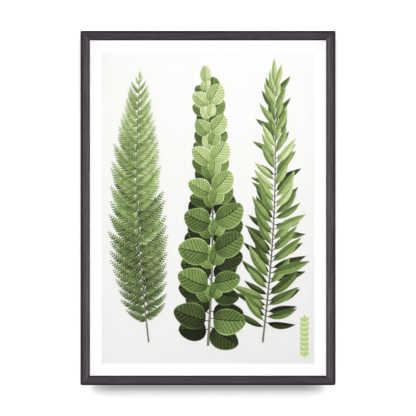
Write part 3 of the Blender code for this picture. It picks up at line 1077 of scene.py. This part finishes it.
def wall_paint_and_glow():
    """Matt paint, darker further up, where the wall's lamps are nearer.

    Its glow is painted light, the light left under the frame. The painted light grows to
    full light towards the frame's lower corners, where lamps at both sides would reach in,
    and less so further down.
    """
    made, nodes, shader = new_material("wall_paint_and_glow", roughness=0.9, specular=0.1)
    x, _, z = nodes.parts(nodes.place())
    rise = nodes.math("DIVIDE", nodes.minus(z, BOTTOM_Z), 2 * HALF_HEIGHT)
    paint = nodes.ramp(rise, ((0.0, grey(0.120)), (0.5, grey(0.084)), (1.0, grey(0.055))))
    mottle = mottled(nodes, 0.05)
    clouds = nodes.ramp(mottle["Clouds"], ((0.3, grey(0.985)), (0.7, grey(1.0))))
    finish(nodes, shader, nodes.blend(1.0, paint, clouds, "MULTIPLY"))
    # Painted light: the glow fills in the frame's shadow towards its lower corners
    aside = nodes.minus(nodes.math("ABSOLUTE", x), CORNER_FADE[0])
    past_corner = nodes.math("DIVIDE", aside, CORNER_FADE[1])
    under = nodes.minus(BOTTOM_Z, z)
    near = nodes.spread(nodes.step(under, FADE_DEPTH[0], FADE_DEPTH[1]), 1.0, 0.55)
    gained = nodes.ramp(past_corner, [(at, grey(more)) for at, more in FADE])
    share = nodes.times(nodes.times(gained, near), nodes.step(under, -0.003, 0.0))
    glow = nodes.blend(share, grey(WALL_GLOW), grey(1.0))
    nodes.feed(shader.inputs["Emission Color"], glow)
    shader.inputs["Emission Strength"].default_value = 1.0
    seen_from_the_front(made, nodes, shader)
    return made


def floor_paint():
    """Pale matt paint that is never quite in shade."""
    made, nodes, shader = new_material("floor_paint", roughness=0.8, specular=0.1)
    mottle = mottled(nodes, 0.05)
    tone = nodes.ramp(mottle["Clouds"], ((0.3, (0.591, 0.591, 0.586)), (0.7, (0.60, 0.60, 0.595))))
    finish(nodes, shader, tone)
    nodes.feed(shader.inputs["Emission Color"], grey(1.0))
    shader.inputs["Emission Strength"].default_value = FLOOR_GLOW
    seen_from_the_front(made, nodes, shader)
    return made


def stage_sheet(name, corners, material):
    """A flat sheet of the room, its corners in order round it. It throws no light back."""
    mesh = bpy.data.meshes.new(name)
    mesh.from_pydata(corners, [], [(0, 1, 2, 3)])
    mesh.materials.append(material)
    sheet = new_object(name, mesh)
    sheet.visible_diffuse = False
    sheet.visible_glossy = False
    sheet.visible_transmission = False
    return sheet


def area_light(name, place, target, size, power):
    """A soft rectangular lamp at place that faces target. The camera doesn't see it.

    A lamp shines down its own -Z. It is tipped up from there by the angle between straight
    down and the way to the target, and then turned round to the way's bearing.
    """
    lamp = bpy.data.lights.new(name, "AREA")
    lamp.shape = "RECTANGLE"
    lamp.size, lamp.size_y = size
    lamp.energy = power
    made = new_object(name, lamp)
    made.location = place
    way = np.array(target) - np.array(place)
    tipped = math.atan2(math.hypot(way[0], way[1]), -way[2])
    bearing = math.atan2(way[1], way[0]) - math.pi / 2
    made.rotation_euler = (tipped, 0.0, bearing)
    made.visible_camera = False
    return made


def make_room():
    """A pale wall that the frame hangs on and a pale floor below it. Returns the wall."""
    across = (-ROOM_HALF, ROOM_HALF, ROOM_HALF, -ROOM_HALF)
    upwards = (FLOOR_Z, FLOOR_Z, ROOM_TOP, ROOM_TOP)
    backwards = (-2 * ROOM_HALF, -2 * ROOM_HALF, ROOM_HALF, ROOM_HALF)
    wall_corners = [(x, WALL_Y, z) for x, z in zip(across, upwards)]
    floor_corners = [(x, y, FLOOR_Z) for x, y in zip(across, backwards)]
    wall = stage_sheet("wall", wall_corners, wall_paint_and_glow())
    wall.visible_shadow = False
    stage_sheet("floor", floor_corners, floor_paint())
    return wall


def all_but(name, left_out):
    """A collection that stands for everything but a few objects."""
    collection = bpy.data.collections.new(name)
    for number, item in enumerate(left_out):
        collection.objects.link(item)
        collection.collection_objects[number].light_linking.link_state = "EXCLUDE"
    return collection


def make_light(wall, printed):
    """Flat light on the frame and the print, with lamps of its own for the wall.

    The wall's two lamps stand about 18 to 82 degrees above the frame's foot, so the frame's
    shadow is full close under the bottom rail and fades out below it. Two lamps at the
    sides and one behind light the frame and its hardware, not the print. The room is dark
    behind the camera, so that nothing veils the picture's glazing.
    """
    centre = (0.0, FRONT_Y, MIDDLE_Z)
    on_wall = bpy.data.collections.new("lit_by_the_wall_lamps")
    on_wall.objects.link(wall)
    off_wall = all_but("all_but_the_wall", [wall])
    off_print = all_but("all_but_wall_and_print", [wall, *printed])
    for name, place, size, power, lit in (
        ("wall_wash", (0.0, -2.0, MIDDLE_Z + 1.24), (5.0, 1.75), 740.0, on_wall),
        ("wall_top_light", (0.0, -0.75, MIDDLE_Z + 1.75), (4.0, 0.9), 800.0, on_wall),
        ("front_light", (0.0, -3.2, MIDDLE_Z), (0.6, 0.6), 100.0, off_wall),
        ("left_light", (-2.6, -1.0, MIDDLE_Z + 0.3), (1.0, 1.6), 19.0, off_print),
        ("right_light", (2.6, -1.0, MIDDLE_Z + 0.3), (1.0, 1.6), 19.0, off_print),
        ("back_light", (0.6, 2.4, MIDDLE_Z + 1.2), (1.8, 1.8), 60.0, off_print),
    ):
        lamp = area_light(name, place, centre, size, power)
        lamp.visible_glossy = lamp.visible_transmission = name != "front_light"
        lamp.light_linking.receiver_collection = lit

    world = bpy.data.worlds.new("pale_room")
    world.use_nodes = True
    nodes = Nodes(world.node_tree)
    background = world.node_tree.nodes["Background"]
    seen = nodes.add("LightPath").outputs["Is Camera Ray"]
    facing = nodes.parts(nodes.add("TexCoord").outputs["Generated"])[1]
    room = nodes.spread(nodes.step(facing, -0.95, -0.30), 0.03, 0.16)
    nodes.feed(background.inputs["Color"], grey(1.0))
    nodes.feed(background.inputs["Strength"], nodes.math("MAXIMUM", seen, room))
    bpy.context.scene.world = world


def make_camera():
    """A long lens square on to the frame's middle, so that one pixel is one PIXEL there."""
    bpy.context.scene.view_settings.view_transform = "Standard"
    lens = bpy.data.cameras.new("camera")
    lens.lens = LENS
    lens.sensor_width = SENSOR
    lens.clip_start = NEAREST
    lens.clip_end = FURTHEST
    distance = PHOTO_PIXELS * PIXEL * LENS / SENSOR
    camera = new_object("camera", lens)
    camera.location = (0.0, FRONT_Y - distance, MIDDLE_Z)
    camera.rotation_euler = (math.pi / 2, 0.0, 0.0)
    bpy.context.scene.camera = camera


def make_frame():
    """The rails, the sheets and the hardware on the back."""
    # Two copies of one stained wood. The upright rails' copy has painted side light, so it looks
    # lighter than the level rails' copy.
    upright = stained_wood("stained_wood_upright_side_lit", True)
    level = stained_wood("stained_wood_level_shaded", False)
    rails = {"rail_left": upright, "rail_right": upright, "rail_top": level, "rail_bottom": level}
    for node, material in rails.items():
        softened(node, rounding=0.00022, material=material, close_mitres=True)
    dress("glazing", clear_acrylic())
    dress("printed_sheet", print_paper())
    dress("packing_card", packing_card())
    softened("backing_board", rounding=0.0002, material=hardboard())

    zinc = plated_metal("zinc_plate", (0.66, 0.66, 0.63), (0.50, 0.49, 0.44), 0.32)
    steel = plated_metal("screw_steel", (0.60, 0.60, 0.59), (0.42, 0.42, 0.41), 0.30)
    brass = plated_metal("brass_plate", (0.80, 0.62, 0.32), (0.58, 0.42, 0.19), 0.30)
    rubber = bumper_rubber()
    hardware = (
        ("turn_button", 0.00018, zinc),
        ("button_screw", 0.00010, steel),
        ("v_nail", 0.00010, steel),
        ("sawtooth_hanger", 0.00012, brass),
        ("hanger_nail", 0.00012, brass),
        ("bumper", 0.00060, rubber),
    )
    for node in frame["nodes"]:
        for kind, rounding, material in hardware:
            if node.startswith(kind):
                softened(node, rounding, material)


def make_picture():
    """The drawn plants and the ornament on the sheet. Returns them with the sheet."""
    inks = {
        "fern": leaf_ink("fern_ink", Veins=1.0, Midrib=0.20, Rim=0.10, Halves=0.06),
        "round_leaf": leaf_ink(
            "round_leaf_ink", Veins=8.0, Slant=0.42, Pleats=0.27, Midrib=0.30, Rim=0.22, Halves=0.06
        ),
        "lance_leaf": leaf_ink(
            "lance_leaf_ink", Veins=9.0, Slant=0.30, Pleats=0.12, Midrib=0.34, Rim=0.18, Halves=0.09
        ),
        "stem": stem_ink(),
        "ornament": ornament_ink(),
    }
    return [
        frame["nodes"]["printed_sheet"],
        fern_sprig(inks),
        round_leaf_sprig(inks),
        lance_leaf_sprig(inks),
        corner_ornament(inks),
    ]


make_camera()
make_frame()
printed = make_picture()
make_light(make_room(), printed)
